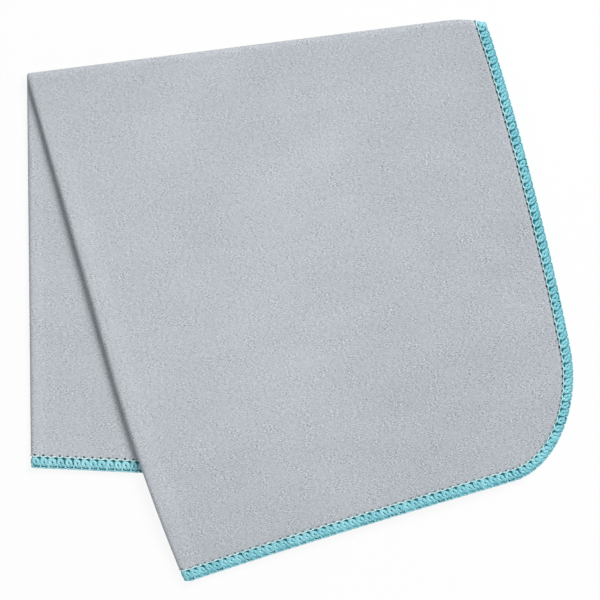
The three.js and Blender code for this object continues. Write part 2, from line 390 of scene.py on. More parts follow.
class EdgePath:
    """Gives the place on the flat cloth of a stitch count and an inset from the raw edge."""

    def __init__(self, pitches):
        points, inwards, zones = self.outline()
        steps = np.linalg.norm(np.diff(points, axis=0), axis=1)
        self.length = np.concatenate([[0], np.cumsum(steps)])
        self.points = points
        self.inwards = inwards

        def by_zone(values):
            return self.smoothed([values[zone] for zone in zones])

        pitch = by_zone(pitches)
        self.slant = by_zone(SLANTS)
        self.width = by_zone(WIDTHS)
        # Each zone's tone, partly painted light and shade
        self.shade = by_zone(ZONE_TONES_AND_PAINTED_LIGHT)
        self.fullness = by_zone(FULLNESS)
        self.rounds = by_zone(ROUNDS)
        from_middle = points[:, 1] - strip_of(PANEL_WIDTH, 0) - OUTSET_MIDDLE
        beside_crease = CREASE_OUTSET * np.exp(-(from_middle / OUTSET_RUN) ** 2)
        self.outset = by_zone(OUTSETS) + beside_crease
        count = np.concatenate([[0], np.cumsum(steps / ((pitch[1:] + pitch[:-1]) / 2))])
        self.total = round(count[-1])
        self.count = count * self.total / count[-1]

    @staticmethod
    def outline():
        hem = PANEL_WIDTH - CORNER_ACROSS
        front_end = FRONT_LENGTH - CORNER_DOWN
        back_end = BACK_LENGTH - CORNER_DOWN
        arc = math.pi / 2 * math.sqrt((CORNER_ACROSS ** 2 + CORNER_DOWN ** 2) / 2)
        points, inwards, zones = [], [], []

        def straight(start, end, inward, zone):
            number = round(math.dist(start, end) / PATH_STEP)
            for step in range(number):
                points.append(lerp(np.array(start), np.array(end), step / number))
                inwards.append(inward)
                zones.append(zone)

        def corner(side, end, up, first, last, zone):
            number = round(arc / PATH_STEP)
            for step in range(number):
                turn = lerp(first, last, step / number)
                points.append(np.array((side * (hem + CORNER_ACROSS * math.cos(turn)),
                                        up * (end + CORNER_DOWN * math.sin(turn)))))
                inwards.append((-side * math.cos(turn), -up * math.sin(turn)))
                zones.append("side" if turn < math.pi / 4 else zone)

        right = math.pi / 2
        straight((0, FRONT_LENGTH), (hem, FRONT_LENGTH), (0, -1), "front_hem")
        corner(1, front_end, 1, right, 0, "front_hem")
        straight((PANEL_WIDTH, front_end), (PANEL_WIDTH, -back_end), (-1, 0), "side")
        corner(1, back_end, -1, 0, right, "back_hem")
        straight((hem, -BACK_LENGTH), (-hem, -BACK_LENGTH), (0, 1), "back_hem")
        corner(-1, back_end, -1, right, 0, "back_hem")
        straight((-PANEL_WIDTH, -back_end), (-PANEL_WIDTH, front_end), (1, 0), "side")
        corner(-1, front_end, 1, 0, right, "front_hem")
        straight((-hem, FRONT_LENGTH), (0, FRONT_LENGTH), (0, -1), "front_hem")
        points.append(points[0])
        inwards.append(inwards[0])
        zones.append(zones[0])
        return np.array(points), np.array(inwards, float), zones

    @staticmethod
    def smoothed(values):
        """Eased over a corner's length, so a zone runs into the next."""
        width = round(CORNER_DOWN / PATH_STEP)
        wrapped = np.concatenate([values[-width - 1:-1], values, values[1:width + 1]])
        total = np.cumsum(np.concatenate([[0], wrapped]))
        window = 2 * width + 1
        return (total[window:] - total[:-window]) / window

    def flat(self, count, inset):
        """Across and strip of a place."""
        wrapped = np.mod(count, self.total)
        across = np.interp(wrapped, self.count, self.points[:, 0])
        strip = np.interp(wrapped, self.count, self.points[:, 1])
        inward_across = np.interp(wrapped, self.count, self.inwards[:, 0])
        inward_strip = np.interp(wrapped, self.count, self.inwards[:, 1])
        return across + inset * inward_across, strip + inset * inward_strip

    def at(self, count, values):
        """One of the path's own rows of values, at stitch counts."""
        return np.interp(np.mod(count, self.total), self.count, values)

    def pitch_at(self, count):
        wrapped = np.mod(count, self.total)
        return np.interp(wrapped + 0.5, self.count, self.length) - np.interp(
            wrapped - 0.5, self.count, self.length)

    def count_near(self, across, strip):
        """The stitch count of places close to the raw edge."""
        hem = PANEL_WIDTH - CORNER_ACROSS
        front = strip > 0
        end = np.where(front, FRONT_LENGTH, BACK_LENGTH) - CORNER_DOWN
        dx = np.maximum(np.abs(across) - hem, 0)
        dy = np.maximum(np.abs(strip) - end, 0)
        inset = np.zeros_like(across)
        for _ in range(2 * CORRECTIONS):
            size = np.hypot(dx / (CORNER_ACROSS - inset), dy / (CORNER_DOWN - inset))
            inset = np.clip(inset + (1 - size) * CORNER_DOWN, 0, CORNER_DOWN / 2)
        turn = np.arctan2(dy / (CORNER_DOWN - inset), dx / (CORNER_ACROSS - inset))
        side = np.where(across < 0, -1, 1)
        up = np.where(front, 1, -1)
        edge_across = np.where(dx > 0, side * (hem + CORNER_ACROSS * np.cos(turn)), across)
        edge_strip = np.where(dy > 0, up * (end + CORNER_DOWN * np.sin(turn)), strip)
        edge_across = np.where((dx > 0) & (dy == 0), side * PANEL_WIDTH, edge_across)
        edge_strip = np.where((dy > 0) & (dx == 0), up * (end + CORNER_DOWN), edge_strip)
        found = np.empty(len(across))
        for index, place in enumerate(zip(edge_across, edge_strip)):
            gaps = np.abs(self.points - np.array(place)).sum(axis=1)
            found[index] = self.count[int(np.argmin(gaps[:-1]))]
        return found


# Meshes

def add_object(name, data):
    thing = bpy.data.objects.new(name, data)
    bpy.context.scene.collection.objects.link(thing)
    return thing


def mesh_object(name, points, faces):
    mesh = bpy.data.meshes.new(name)
    mesh.from_pydata(points.tolist(), [], faces)
    mesh.update()
    return add_object(name, mesh)


def select_only(*things):
    bpy.ops.object.select_all(action="DESELECT")
    for thing in things:
        thing.select_set(True)
    bpy.context.view_layer.objects.active = things[0]


def add_uv(thing, name, values):
    layer = thing.data.uv_layers.new(name=name)
    layer.data.foreach_set("uv", np.asarray(values, np.float32).ravel())


def corners_of(thing):
    corners = np.empty(len(thing.data.loops), int)
    thing.data.loops.foreach_get("vertex_index", corners)
    return corners


class Net:
    """Places on the cloth joined by faces, which become a closed sheet."""

    def __init__(self):
        self.across = []
        self.down = []
        self.height = []
        self.inset = []
        self.faces = []

    def add(self, across, down, height, inset):
        """Adds a row of places and gives their numbers."""
        first = len(self.across)
        self.across.extend(across)
        self.down.extend(down)
        self.height.extend(np.broadcast_to(height, len(across)))
        self.inset.extend(np.broadcast_to(inset, len(across)))
        return list(range(first, len(self.across)))

    def join(self, rows):
        for lower, upper in zip(rows, rows[1:]):
            for step in range(1, len(lower)):
                self.faces.append((lower[step - 1], upper[step - 1], upper[step], lower[step]))

    def turned_outwards(self):
        across = np.array(self.across)
        down = np.array(self.down)
        turned = []
        for face in self.faces:
            after = face[1:] + face[:1]
            area = sum(down[a] * across[b] - across[a] * down[b] for a, b in zip(face, after))
            turned.append(face if area > 0 else face[::-1])
        return turned

    def sheet(self, name, path):
        across = np.array(self.across)
        down = np.array(self.down)
        height = np.array(self.height)
        number = len(across)
        upper = self.turned_outwards()
        lower = [tuple(corner + number for corner in face[::-1]) for face in upper]
        edges = {(a, b) for face in upper for a, b in zip(face, face[1:] + face[:1])}
        rim = [edge for edge in edges if edge[::-1] not in edges]
        walls = [(b, a, a + number, b + number) for a, b in sorted(rim)]
        points = np.concatenate([folded(across, down, height), folded(across, down, -height)])
        thing = mesh_object(name, points, upper + lower + walls)
        strip = strip_of(across, down)
        corners = corners_of(thing) % number
        add_uv(thing, "flat_cloth", np.stack([across[corners], strip[corners]], axis=-1))
        count = path.count_near(across, strip)[corners]
        start = np.empty(len(thing.data.polygons), int)
        thing.data.polygons.foreach_get("loop_start", start)
        first = np.repeat(count[start], np.diff(np.append(start, len(count))))
        count = count - path.total * np.round((count - first) / path.total)
        inset = np.array(self.inset)[corners] / path.at(count, path.width)
        add_uv(thing, "edge", np.stack([count, inset], axis=-1))
        select_only(thing)
        bpy.ops.object.shade_smooth_by_angle(angle=SMOOTH_ANGLE)
        return thing


def columns_at(down, reach):
    """Where a row crosses the first fold, its taper and the field."""
    front = down > 0
    full_radius = FRONT_FOLD_RADIUS if front else BACK_FOLD_RADIUS
    opening = float(ease((abs(down) - CREASE_REACH) / FOLD_OPENING))
    quarter = math.pi / 2 * lerp(LAYER_PITCH / 2, full_radius, opening)
    tapered = quarter + (FRONT_FOLD_TAPER if front else BACK_FOLD_TAPER)
    columns = np.concatenate([
        np.linspace(0, quarter, FOLD_COLUMNS, endpoint=False),
        np.linspace(quarter, tapered, TAPER_COLUMNS, endpoint=False),
        np.linspace(tapered, reach, FIELD_COLUMNS + 1),
    ])
    return np.concatenate([-columns[:0:-1], columns])


def crease_sheet(path):
    """The band of cloth that turns over the crease, out to the raw edge on both sides."""
    net = Net()
    rings = [-ring for ring in reversed(CREASE_RINGS)] + [0] + list(CREASE_RINGS)
    insets = np.array(EDGE_INSETS[1:])
    heights = np.array(EDGE_HEIGHTS[1:])
    rows = []
    for down in rings:
        field = columns_at(down, PANEL_WIDTH - EDGE_INSETS[0])
        edge = PANEL_WIDTH - insets
        across = np.concatenate([-edge[::-1], field, edge])
        height = np.concatenate([heights[::-1], np.full(len(field), EDGE_HEIGHTS[0]), heights])
        inset = PANEL_WIDTH - np.abs(across)
        rows.append(net.add(across, np.full(len(across), down), height, inset))
    net.join(rows)
    return net.sheet("crease_sheet", path)


class HalfRows:
    """The rows of a half's mesh, from the crease band to the bottom edge."""

    def __init__(self, front):
        self.sign = 1 if front else -1
        self.full = FRONT_LENGTH if front else BACK_LENGTH
        self.end = self.full - CORNER_DOWN
        self.side = np.linspace(0, 1, SIDE_ROWS + 1)
        self.corner = np.linspace(0, 1, CORNER_ROWS + 1)[1:]

    def start(self, across):
        return self.sign * float(strip_of(np.array(across), np.array(self.sign * BAND)))

    def left(self):
        """Length of every row on the first fold."""
        return np.concatenate([
            lerp(self.start(0.0), self.end, self.side),
            self.end + (CORNER_DOWN - EDGE_INSETS[0]) * self.corner,
        ])

    def edge(self, inset, panel):
        """Reach and length of every row at an inset from the raw edge, on panel 1 or -1."""
        reach = PANEL_WIDTH - inset
        turn = self.corner * math.pi / 2
        reaches = np.concatenate([
            np.full(len(self.side), reach),
            PANEL_WIDTH - CORNER_ACROSS + (CORNER_ACROSS - inset) * np.cos(turn),
        ])
        lengths = np.concatenate([
            lerp(self.start(panel * reach), self.end, self.side),
            self.end + (CORNER_DOWN - inset) * np.sin(turn),
        ])
        return reaches, lengths

    def down(self, across, length):
        return down_of(across, self.sign * length)


def half_sheet(name, front, path):
    """A half of the cloth, from the crease band to the raw edge round its two corners."""
    rows = HalfRows(front)
    net = Net()
    reaches, lengths = rows.edge(EDGE_INSETS[0], 1)
    lefts = rows.left()
    grid = []
    for index, left in enumerate(lefts):
        at_fold = float(rows.down(np.array(0.0), np.array(left)))
        across = columns_at(at_fold, reaches[index])
        length = lerp(left, lengths[index], np.abs(across) / reaches[index])
        down = rows.down(across, length)
        if index == 0:
            down = np.full(len(across), rows.sign * BAND)
        inset = np.full(len(across), FIELD_INSET)
        inset[[0, -1]] = EDGE_INSETS[0]
        if index == len(lefts) - 1:
            inset[:] = EDGE_INSETS[0]
        grid.append(net.add(across, down, EDGE_HEIGHTS[0], inset))
    net.join(grid)
    hem = np.array([net.across[number] for number in grid[-1][1:-1]])
    rings = [[row[0] for row in grid] + grid[-1][1:-1] + [row[-1] for row in reversed(grid)]]
    for inset, height in zip(EDGE_INSETS[1:], EDGE_HEIGHTS[1:]):
        ends = {}
        for panel in (-1, 1):
            reach, length = rows.edge(inset, panel)
            across = panel * reach
            down = rows.down(across, length)
            down[0] = rows.sign * BAND
            ends[panel] = (across, down)
        across = np.concatenate([ends[-1][0], hem, ends[1][0][::-1]])
        hem_down = rows.down(hem, np.full(len(hem), rows.full - inset))
        down = np.concatenate([ends[-1][1], hem_down, ends[1][1][::-1]])
        rings.append(net.add(across, down, height, inset))
    net.join(rings)
    return net.sheet(name, path)


# Stitches: each kind is modelled on the flat cloth, then copied along the edge and folded

def model_strand(points, radii, width, height):
    """A flattened yarn along points of (along, inset, proud), as a mesh object."""
    bpy.ops.object.select_all(action="DESELECT")
    bpy.ops.curve.primitive_nurbs_path_add(location=(0, 0, 0))
    thing = bpy.context.object
    curve = thing.data
    curve.splines.clear()
    spline = curve.splines.new("NURBS")
    spline.points.add(len(points) - 1)
    for point, place, radius in zip(spline.points, points, radii):
        along, inset, proud = place
        point.co = (along, inset, proud * width / height, 1)
        point.radius = radius
    spline.order_u = 3
    spline.use_endpoint_u = True
    spline.resolution_u = 1
    curve.resolution_u = 1
    curve.bevel_depth = width / 2
    curve.bevel_resolution = 1
    curve.use_fill_caps = True
    bpy.ops.object.convert(target="MESH")
    thing = bpy.context.object
    thing.data.transform(Matrix.Diagonal((1, 1, height / width, 1)))
    return thing


def model_stitch(strands):
    """The strands of one stitch, joined and closed: its points, faces and strand map."""
    made = [model_strand(*strand) for strand in strands]
    select_only(*made)
    if len(made) > 1:
        bpy.ops.object.join()
    stitch = bpy.context.object
    bpy.ops.object.mode_set(mode="EDIT")
    bpy.ops.mesh.select_all(action="SELECT")
    bpy.ops.mesh.remove_doubles(threshold=0.000001)
    bpy.ops.mesh.normals_make_consistent(inside=False)
    bpy.ops.object.mode_set(mode="OBJECT")
    mesh = stitch.data
    points = np.array([vertex.co for vertex in mesh.vertices], float)
    faces = [tuple(face.vertices) for face in mesh.polygons]
    strand_map = np.empty(len(mesh.loops) * 2)
    mesh.uv_layers[0].data.foreach_get("uv", strand_map)
    bpy.data.objects.remove(stitch)
    return points, faces, strand_map.reshape(-1, 2)


def sew(name, kinds, path, numbers, wander, rng, fullness):
    """Copies one or two kinds of stitch to the numbered places on the edge, folded."""
    models = [model_stitch(strands) for strands in kinds]
    copies, all_faces, maps, sizes = [], [], [], []
    for number in numbers:
        first_kind = rng.uniform(0, 1) < path.at(number, path.rounds) or len(kinds) == 1
        points, faces, strand_map = models[0 if first_kind else 1]
        local = points.copy()
        local[:, 0] *= fullness * path.at(number, path.fullness) + rng.uniform(-wander, wander)
        local[:, 0] += MODEL_PITCH * rng.uniform(-wander, wander) * WANDER_ALONG
        local[:, 2] *= 1 + rng.uniform(-wander, wander) * WANDER_PROUD
        lean = 1 - np.clip(local[:, 1] / NEEDLE_LINE, PAST_THE_EDGE, 1)
        slant = path.at(number, path.slant) * (1 + rng.uniform(-wander, wander) * WANDER_SLANT)
        slant = slant * lean
        inset = local[:, 1] * path.at(number, path.width) - path.at(number, path.outset) * lean
        pitch = path.pitch_at(number)
        count = number + local[:, 0] / MODEL_PITCH + slant / pitch
        across, strip = path.flat(count, inset)
        copies.append(folded(across, down_of(across, strip), local[:, 2]))
        first = sum(sizes)
        all_faces.extend(tuple(corner + first for corner in face) for face in faces)
        maps.append(strand_map)
        sizes.append(len(points))
    thing = mesh_object(name, np.concatenate(copies), all_faces)
    thing.data.shade_smooth()
    add_uv(thing, "strand", np.concatenate(maps))
    tone = thing.data.attributes.new("tone", "FLOAT", "POINT")
    # The zone's tone adds painted light and shade to each stitch's random tone
    tones = rng.uniform(0, 1, len(numbers)) + path.at(numbers, path.shade)
    tones = tones + CREASE_PALER * (fullness - 1)
    tones = np.repeat(tones, sizes)
    tone.data.foreach_set("value", tones.astype(np.float32))
    return thing


def stitch_groups(path):
    """The numbers of the stitches of the back half, the crease and the front half."""
    numbers = np.arange(path.total) + 0.5
    across, strip = path.flat(numbers, np.full(len(numbers), NEEDLE_LINE / 2))
    down = down_of(across, strip)
    return {
        "back_half": numbers[down < -CREASE_STITCHES],
        "crease": numbers[np.abs(down) <= CREASE_STITCHES],
        "front_half": numbers[down > CREASE_STITCHES],
    }


def hang(thing, group):
    """Rides a piece on its half, or keeps a piece over the crease where it lies."""
    if group == "crease":
        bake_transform(thing)
    else:
        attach(thing, group)


def nodes_of(group, ending):
    halves = ("back_half", "front_half") if group == "crease" else (group,)
    return [f"{half}_{ending}" for half in halves]


# Shaders

class Wire:
    """An output of a shader node, used in sums like a number."""

    def __init__(self, finish, socket):
        self.finish = finish
        self.socket = socket

    def sum(self, operation, first, second):
        return self.finish.node(
            "ShaderNodeMath", {"operation": operation}, {0: first, 1: second})

    def __add__(self, other):
        return self.sum("ADD", self, other)

    __radd__ = __add__

    def __sub__(self, other):
        return self.sum("SUBTRACT", self, other)

    def __rsub__(self, other):
        return self.sum("SUBTRACT", other, self)

    def __mul__(self, other):
        return self.sum("MULTIPLY", self, other)


class Finish:
    """A node tree of a material or of the world, and what it is made with."""

    def __init__(self, tree):
        self.tree = tree
        self.tree.nodes.clear()

    def node(self, kind, settings=None, inputs=None, output=0):
        made = self.tree.nodes.new(kind)
        for name, value in (settings or {}).items():
            setattr(made, name, value)
        for name, value in (inputs or {}).items():
            if isinstance(value, Wire):
                self.tree.links.new(value.socket, made.inputs[name])
            else:
                made.inputs[name].default_value = value
        return Wire(self, made.outputs[output])

    def maths(self, operation, value):
        return self.node("ShaderNodeMath", {"operation": operation}, {0: value})

    def uv_map(self, name):
        """A map's place, and its two values by themselves."""
        place = self.node("ShaderNodeUVMap", {"uv_map": name})
        first = self.node("ShaderNodeSeparateXYZ", {}, {0: place})
        return place, first, Wire(self, first.socket.node.outputs[1])

    def surface(self, shader, kind="ShaderNodeOutputMaterial"):
        output = self.tree.nodes.new(kind)
        self.tree.links.new(shader.socket, output.inputs["Surface"])

    def mix(self, first, second, share):
        return self.node(
            "ShaderNodeMix", {"data_type": "RGBA"}, {0: share, 6: first, 7: second}, output=2)

    def noise(self, place, scale, detail, roughness=0.5):
        return self.node("ShaderNodeTexNoise", {}, {
            "Vector": place, "Scale": scale, "Detail": detail, "Roughness": roughness})

    def seen(self):
        """1 for rays that the camera sees, directly or in a reflection, and 0 for light."""
        camera = self.node("ShaderNodeLightPath")
        outputs = camera.socket.node.outputs
        glossy = Wire(self, outputs["Is Glossy Ray"])
        through = Wire(self, outputs["Is Transmission Ray"])
        return self.node("ShaderNodeMath", {"operation": "MINIMUM"}, {
            0: camera + glossy + through, 1: 1.0})

    def spread(self, value, low, high):
        """0 under low, 1 over high, and eased between them."""
        return self.node("ShaderNodeMapRange", {"interpolation_type": "SMOOTHSTEP"}, {
            "Value": value, "From Min": low, "From Max": high})


def opaque(colour):
    return (*colour, 1)


def new_material(name):
    material = bpy.data.materials.new(name)
    material.use_nodes = True
    return material, Finish(material.node_tree)


def fabric_nap(finish, flat):
    """The nap's stretched place, the fine nap and the soft mottle over it."""
    stretched = finish.node("ShaderNodeVectorMath", {"operation": "MULTIPLY"}, {
        0: flat, 1: NAP_STRETCH})
    nap = finish.noise(stretched, NAP_SCALE, 1) - 0.5
    mottle = finish.noise(flat, MOTTLE_SCALE, 2) - 0.5
    return stretched, nap, mottle


def fabric_tone(finish, flat, stretched, across, strip, nap, mottle):
    """How light the fabric is, 0 to 1, painted light and shade included."""
    patch = finish.noise(flat, PATCH_SCALE, 1) - 0.5
    fleck = finish.spread(finish.noise(stretched, FLECK_SCALE, 1), *FLECKS)
    cloud = finish.noise(flat, CLOUD_SCALE, 2) - 0.5
    streak = finish.noise(stretched, STREAK_SCALE, 3, 0.6) - 0.5
    swing = finish.maths("ABSOLUTE", nap)
    from_crease = finish.maths("ABSOLUTE", strip)
    nap_strength = (NAP_AT_CREASE + from_crease * NAP_GROWTH) * (1 + patch * NAP_BY_PATCH)
    diagonal = (across + strip) * (2 * math.pi / RIB_PITCH / math.sqrt(2))
    rib = finish.maths("SINE", diagonal)
    # The nap's tone is partly random and partly painted: shade in its hollows and light on its
    # tips, where the bump sets them
    light = MIDDLE_TONE + (nap - swing * NAP_HOLLOWS) * nap_strength
    light = light + mottle * MOTTLE_TONE + rib * RIB_TONE
    light = light + cloud * CLOUD_TONE + streak * STREAK_TONE
    # Painted light: paler round a middle on the first fold, darker towards the sides and the ends
    light = light + PAINTED_LIGHT_LIFT - fleck * FLECK_TONE
    down = from_crease - PAINTED_LIGHT_MIDDLE_DOWN
    light = light - (across * across + down * down) * PAINTED_LIGHT_FALLOFF
    return finish.node("ShaderNodeClamp", {}, {0: light})


def needle_holes(finish, across, strip, count, inset):
    """1 in the needle's holes, one beside each stitch, and 0 elsewhere; the holes' colour is
    painted shade.
    """
    in_stitch = finish.maths("FRACT", count)
    aside = (in_stitch - 0.5) * MODEL_PITCH
    inwards = inset - HOLE_INSET
    side = finish.spread(across * across, *HOLE_SIDES)
    square = aside * aside + inwards * inwards * HOLE_ROUNDNESS
    square = square * (1 - side * HOLE_SIDE_GROWTH)
    shaded_hole = 1 - finish.spread(square, *HOLE_EDGE)
    stitch = finish.maths("FLOOR", count)
    varied = finish.node("ShaderNodeTexWhiteNoise", {"noise_dimensions": "1D"}, {"W": stitch})
    shaded_hole = shaded_hole * (HOLE_FAINTEST + varied * (1 - HOLE_FAINTEST))
    return shaded_hole * (1 - finish.spread(strip, *HOLE_FADE) * HOLE_FADED)


def fabric_material(colours):
    material, finish = new_material("microfibre_fabric")
    flat, across, strip = finish.uv_map("flat_cloth")
    _, count, inset = finish.uv_map("edge")
    stretched, nap, mottle = fabric_nap(finish, flat)
    tone = fabric_tone(finish, flat, stretched, across, strip, nap, mottle)
    shaded_hole = needle_holes(finish, across, strip, count, inset)
    # Painted shade: the cloth under the edging is painted the dark gap colour, the shade between
    # the stitches, and the needle holes darker still
    under = 1 - finish.spread(inset, *SHADED_GAP_INSETS)
    shade = finish.mix(opaque(colours.fabric_dark), opaque(colours.fabric_light), tone)
    shade = finish.mix(shade, opaque(colours.gap), under)
    shade = finish.mix(shade, opaque(colours.shaded_hole), shaded_hole)
    height = nap * 1.5 + mottle * 0.5 - shaded_hole * 2 - under * 0.6
    bump = finish.node("ShaderNodeBump", {}, {
        "Strength": FABRIC_BUMP, "Distance": NAP_HEIGHT, "Height": height})
    shader = finish.node("ShaderNodeBsdfPrincipled", {}, {
        "Base Color": shade, "Roughness": 0.92, "Normal": bump,
        "Sheen Weight": 0.12, "Sheen Roughness": 0.6, "Specular IOR Level": 0.2})
    finish.surface(shader)
    return material


def yarn_material(name, dark, middle_tone, light, plies, roughness, specular):
    """A bulky yarn: its plies run along it, painted with shade between them and highlights on
    them, and its tone changes from stitch to stitch.
    """
    material, finish = new_material(name)
    _, around, along = finish.uv_map("strand")
    place = finish.node("ShaderNodeTexCoord", output="Object")
    fluff = finish.noise(place, FLUFF_SCALE, 2, 0.6)
    blotch = finish.noise(place, BLOTCH_SCALE, 2)
    tone = finish.node("ShaderNodeAttribute", {"attribute_name": "tone"}, output="Fac")
    # The plies are painted: shade between them, highlights on top; fluff and blotch vary at random
    turn = (around * plies + along * YARN_TWIST + fluff * 0.5) * (2 * math.pi)
    ply = finish.maths("SINE", turn) * 0.5 + 0.5
    share = ply * PLY_SHADE_AND_HIGHLIGHT + fluff * FLUFF_TONE + blotch * BLOTCH_TONE + tone * STITCH_TONE
    low = finish.mix(opaque(dark), opaque(middle_tone), finish.spread(share, *DARK_TO_MIDDLE))
    shade = finish.mix(low, opaque(light), finish.spread(share, *MIDDLE_TO_LIGHT))
    bump = finish.node("ShaderNodeBump", {}, {
        "Strength": YARN_BUMP, "Distance": PLY_HEIGHT, "Height": ply * 0.7 + fluff * 0.3})
    shader = finish.node("ShaderNodeBsdfPrincipled", {}, {
        "Base Color": shade, "Roughness": roughness, "Normal": bump,
        "Sheen Weight": 0.1, "Specular IOR Level": specular})
    finish.surface(shader)
    return material


# Values that a user would change

def colour_setting(name, description, red, green, blue):
    return bpy.props.FloatVectorProperty(
        name=name, description=description,
        subtype="COLOR", default=from_screen(red, green, blue))


def length_setting(name, description, default, low):
    return bpy.props.FloatProperty(
        name=name, description=description,
        unit="LENGTH", precision=5, min=low, default=default)


class ClothColours(bpy.types.PropertyGroup):
    # The fabric's dark and light ends also carry painted light: shade in the nap's hollows, light
    # on its tips, and the painted fall-off
    fabric_dark: colour_setting("Fabric, dark", "The hollows of the nap", 129, 136, 143)
    fabric_light: colour_setting("Fabric, light", "The tips of the nap", 237, 242, 248)
    # Painted shade: the teal of the lower threads, darkened as the shade under the stitches and
    # painted on the cloth
    gap: colour_setting("Gaps", "What shows between the stitches", 40, 124, 137)
    # Painted shade: the needle holes are painted this dark colour, the shade inside them
    shaded_hole: colour_setting("Needle holes", "The small holes along the needle line", 24, 52, 58)
    # The dark yarn colours are partly painted shade between the plies, and the light looper colour
    # partly a painted highlight on them
    looper: colour_setting("Looper threads", "Middle tone of the bulky threads", 150, 223, 234)
    looper_dark: colour_setting("Looper threads, dark", "Between the plies", 107, 187, 200)
    looper_light: colour_setting("Looper threads, light", "On top of the plies", 194, 243, 251)
    needle: colour_setting("Needle thread", "The thin pale thread", 212, 245, 247)
    needle_dark: colour_setting("Needle thread, dark", "Between its plies", 168, 222, 228)


class ClothSizes(bpy.types.PropertyGroup):
    side_pitch: length_setting(
        "Stitch pitch, sides", "Length of a stitch along the side edges", 0.00332, 0.001)
    front_pitch: length_setting(
        "Stitch pitch, front hem", "Length of a stitch on the front bottom edge", 0.00375, 0.001)
    back_pitch: length_setting(
        "Stitch pitch, back hem", "Length of a stitch on the back bottom edge", 0.00364, 0.001)
    looper_width: length_setting(
        "Looper width", "Width of a bulky thread as it lies on the edge", 0.00188, 0.0001)
    hook_width: length_setting(
        "Hook width", "Width of the strand that turns over the raw edge", 0.00056, 0.0001)
    looper_height: length_setting(
        "Looper height", "Height of a bulky thread as it lies on the edge", 0.00046, 0.0001)
    needle_width: length_setting(
        "Needle thread width", "Thickness of the needle thread", 0.00068, 0.0001)
    wander: bpy.props.FloatProperty(
        name="Unevenness", description="How much the stitches differ from one another",
        min=0, max=0.5, default=0.13)


class StageSettings(bpy.types.PropertyGroup):
    sky: bpy.props.FloatProperty(
        name="Sky", description="Strength of the soft light from all round",
        min=0, default=0.27)
    key: bpy.props.FloatProperty(
        name="Key lamp", description="Power of the large lamp beyond the top right corner",
        unit="POWER", min=0, default=31.6)
    fill: bpy.props.FloatProperty(
        name="Fill lamp", description="Power of the weaker lamp in front, on the left",
        unit="POWER", min=0, default=1.1)
    floor: bpy.props.FloatVectorProperty(
        name="Floor", description="Colour of the floor",
        subtype="COLOR", default=(0.95, 0.95, 0.95))


def cloth_path(sizes):
    return EdgePath({
        "side": sizes.side_pitch, "front_hem": sizes.front_pitch,
        "back_hem": sizes.back_pitch})


def strand(half, width, height, face=1):
    """A strand of a stitch on face 1 or -1: its left half and the mirror image of that."""
    mirrored = [(-along, *others) for along, *others in reversed(half) if along]
    places = [*half, *mirrored]
    points = [(along, inset, face * proud) for along, inset, proud, _ in places]
    widening = [share for *_, share in places]
    return points, widening, width, height


def teeth(sizes, face):
    """A looper's loop round the needle thread: closed near the raw edge, or with legs abreast."""
    return [strand(half, sizes.looper_width, sizes.looper_height, face)
            for half in (ROUND_TOOTH, TIGHT_TOOTH)]


def build_thread(context, label, kinds, material, node_ending):
    """A thread's three pieces: on the back half, over the crease and on the front half."""
    sizes = context.scene.cloth_sizes
    path = cloth_path(sizes)
    rng = np.random.default_rng(SEED)
    for group, numbers in stitch_groups(path).items():
        if len(numbers) == 0:
            raise RuntimeError(f"no {label} stitch lies on the {group}")
        name = f"{group}_{label}_stitches"
        fullness = CREASE_FULLNESS if group == "crease" else 1
        thing = sew(name, kinds, path, numbers, sizes.wander, rng, fullness)
        thing.data.materials.append(material)
        hang(thing, group)
        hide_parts(*nodes_of(group, node_ending))


class CLOTH_OT_upper_looper(bpy.types.Operator):
    """Sews the upper looper thread on the face of the edge"""
    bl_idname = "cloth.upper_looper"
    bl_label = "Upper looper thread"

    def execute(self, context):
        sizes = context.scene.cloth_sizes
        colours = context.scene.cloth_colours
        material = yarn_material(
            "looper_yarn", colours.looper_dark, colours.looper, colours.looper_light, 4, 0.78, 0.3)
        kinds = [[tooth] for tooth in teeth(sizes, 1)]
        build_thread(context, "upper_looper", kinds, material,
                     "upper_looper_thread")
        return {"FINISHED"}


class CLOTH_OT_lower_looper(bpy.types.Operator):
    """Sews the lower looper thread on the back of the edge, hooked over the raw edge"""
    bl_idname = "cloth.lower_looper"
    bl_label = "Lower looper thread"

    def execute(self, context):
        sizes = context.scene.cloth_sizes
        material = bpy.data.materials["looper_yarn"]
        hook = strand(EDGE_HOOK, sizes.hook_width, sizes.hook_width * HOOK_FLATNESS)
        kinds = [[tooth, hook] for tooth in teeth(sizes, -1)]
        build_thread(context, "lower_looper", kinds, material,
                     "lower_looper_thread")
        return {"FINISHED"}


class CLOTH_OT_needle_thread(bpy.types.Operator):
    """Sews the needle thread along the inner side of the edging"""
    bl_idname = "cloth.needle_thread"
    bl_label = "Needle thread"

    def execute(self, context):
        sizes = context.scene.cloth_sizes
        colours = context.scene.cloth_colours
        material = yarn_material(
            "needle_yarn", colours.needle_dark, colours.needle, colours.needle, 2, 0.45, 0.5)
        arch = strand(NEEDLE_ARCH, sizes.needle_width, sizes.needle_width * NEEDLE_FLATNESS)
        build_thread(context, "needle", [[arch]], material,
                     "needle_thread")
        return {"FINISHED"}


class CLOTH_OT_sheets(bpy.types.Operator):
    """Makes the cloth: its back half, the band over the crease and its front half"""
    bl_idname = "cloth.sheets"
    bl_label = "Cloth"

    def execute(self, context):
        path = cloth_path(context.scene.cloth_sizes)
        material = fabric_material(context.scene.cloth_colours)
        sheets = {
            "back_half": half_sheet("back_half_sheet", False, path),
            "crease": crease_sheet(path),
            "front_half": half_sheet("front_half_sheet", True, path),
        }
        for group, sheet in sheets.items():
            sheet.data.materials.append(material)
            hang(sheet, group)
            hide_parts(*nodes_of(group, "cloth"))
        return {"FINISHED"}


